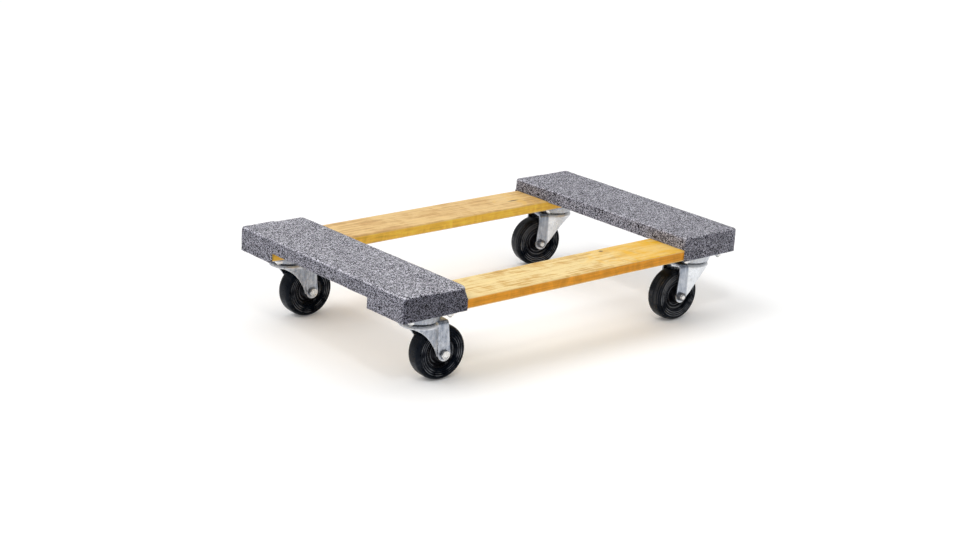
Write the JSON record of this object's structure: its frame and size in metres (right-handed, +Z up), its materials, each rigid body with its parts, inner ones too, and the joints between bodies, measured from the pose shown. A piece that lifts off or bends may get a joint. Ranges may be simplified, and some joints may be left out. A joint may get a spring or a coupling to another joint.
{
  "type": "furniture dolly",
  "caption": "Open-deck furniture dolly: hardwood rails under carpet-wrapped crossboards, on swivel plate casters with rubber wheels, for rolling heavy furniture.",
  "frame": {"origin": "on the floor under the middle of the deck", "axes": "+X along the rails, from the left pad to the right pad; +Y across the rails, from the near rail to the far rail; +Z up"},
  "size_m": [0.762, 0.4572, 0.166],
  "materials": {
    "hardwood": "clear-lacquered, satin",
    "carpet": "heathered grey low-loop carpet",
    "zinc": "bright zinc plate, satin",
    "fastener_steel": "zinc-plated, satin",
    "ball_steel": "polished and greased",
    "tyre_rubber": "smooth black, semi-gloss",
    "core_plastic": "black moulded core"
  },
  "bodies": {
    "deck": {"rail_near": "hardwood", "rail_far": "hardwood", "crossboard_left": "hardwood", "carpet_left": "carpet", "crossboard_right": "hardwood", "carpet_right": "carpet", "near_left_top_plate": "zinc", "near_left_kingpin": "fastener_steel", "near_left_carriage_bolt_1": "fastener_steel", "near_left_carriage_bolt_2": "fastener_steel", "near_left_carriage_bolt_3": "fastener_steel", "near_left_carriage_bolt_4": "fastener_steel", "far_left_top_plate": "zinc", "far_left_kingpin": "fastener_steel", "far_left_carriage_bolt_1": "fastener_steel", "far_left_carriage_bolt_2": "fastener_steel", "far_left_carriage_bolt_3": "fastener_steel", "far_left_carriage_bolt_4": "fastener_steel", "near_right_top_plate": "zinc", "near_right_kingpin": "fastener_steel", "near_right_carriage_bolt_1": "fastener_steel", "near_right_carriage_bolt_2": "fastener_steel", "near_right_carriage_bolt_3": "fastener_steel", "near_right_carriage_bolt_4": "fastener_steel", "far_right_top_plate": "zinc", "far_right_kingpin": "fastener_steel", "far_right_carriage_bolt_1": "fastener_steel", "far_right_carriage_bolt_2": "fastener_steel", "far_right_carriage_bolt_3": "fastener_steel", "far_right_carriage_bolt_4": "fastener_steel"},
    "near_left_swivel": {"near_left_fork": "zinc", "near_left_ball_ring": "ball_steel", "near_left_axle_sleeve": "fastener_steel", "near_left_axle_bolt": "fastener_steel", "near_left_axle_nut": "fastener_steel"},
    "near_left_wheel": {"near_left_tyre": "tyre_rubber", "near_left_wheel_core": "core_plastic"},
    "far_left_swivel": {"far_left_fork": "zinc", "far_left_ball_ring": "ball_steel", "far_left_axle_sleeve": "fastener_steel", "far_left_axle_bolt": "fastener_steel", "far_left_axle_nut": "fastener_steel"},
    "far_left_wheel": {"far_left_tyre": "tyre_rubber", "far_left_wheel_core": "core_plastic"},
    "near_right_swivel": {"near_right_fork": "zinc", "near_right_ball_ring": "ball_steel", "near_right_axle_sleeve": "fastener_steel", "near_right_axle_bolt": "fastener_steel", "near_right_axle_nut": "fastener_steel"},
    "near_right_wheel": {"near_right_tyre": "tyre_rubber", "near_right_wheel_core": "core_plastic"},
    "far_right_swivel": {"far_right_fork": "zinc", "far_right_ball_ring": "ball_steel", "far_right_axle_sleeve": "fastener_steel", "far_right_axle_bolt": "fastener_steel", "far_right_axle_nut": "fastener_steel"},
    "far_right_wheel": {"far_right_tyre": "tyre_rubber", "far_right_wheel_core": "core_plastic"}
  },
  "joints": [
    {"name": "near_left_swivel_turn", "type": "hinge", "parent": "deck", "child": "near_left_swivel", "pos_m": [-0.312, -0.183, 0.105], "axis": [0, 0, 1], "continuous": true},
    {"name": "far_left_swivel_turn", "type": "hinge", "parent": "deck", "child": "far_left_swivel", "pos_m": [-0.312, 0.183, 0.105], "axis": [0, 0, 1], "continuous": true},
    {"name": "near_right_swivel_turn", "type": "hinge", "parent": "deck", "child": "near_right_swivel", "pos_m": [0.312, -0.183, 0.105], "axis": [0, 0, 1], "continuous": true},
    {"name": "far_right_swivel_turn", "type": "hinge", "parent": "deck", "child": "far_right_swivel", "pos_m": [0.312, 0.183, 0.105], "axis": [0, 0, 1], "continuous": true},
    {"name": "near_left_wheel_spin", "type": "hinge", "parent": "near_left_swivel", "child": "near_left_wheel", "pos_m": [-0.27517, -0.18655, 0.0473], "axis": [0.0958, 0.9954, 0], "continuous": true},
    {"name": "far_left_wheel_spin", "type": "hinge", "parent": "far_left_swivel", "child": "far_left_wheel", "pos_m": [-0.27501, 0.18203, 0.0473], "axis": [0.0262, 0.9997, 0], "continuous": true},
    {"name": "near_right_wheel_spin", "type": "hinge", "parent": "near_right_swivel", "child": "near_right_wheel", "pos_m": [0.27505, -0.18106, 0.0473], "axis": [-0.0523, -0.9986, 0], "continuous": true},
    {"name": "far_right_wheel_spin", "type": "hinge", "parent": "far_right_swivel", "child": "far_right_wheel", "pos_m": [0.27595, 0.19132, 0.0473], "axis": [-0.225, -0.9744, 0], "continuous": true}
  ]
}
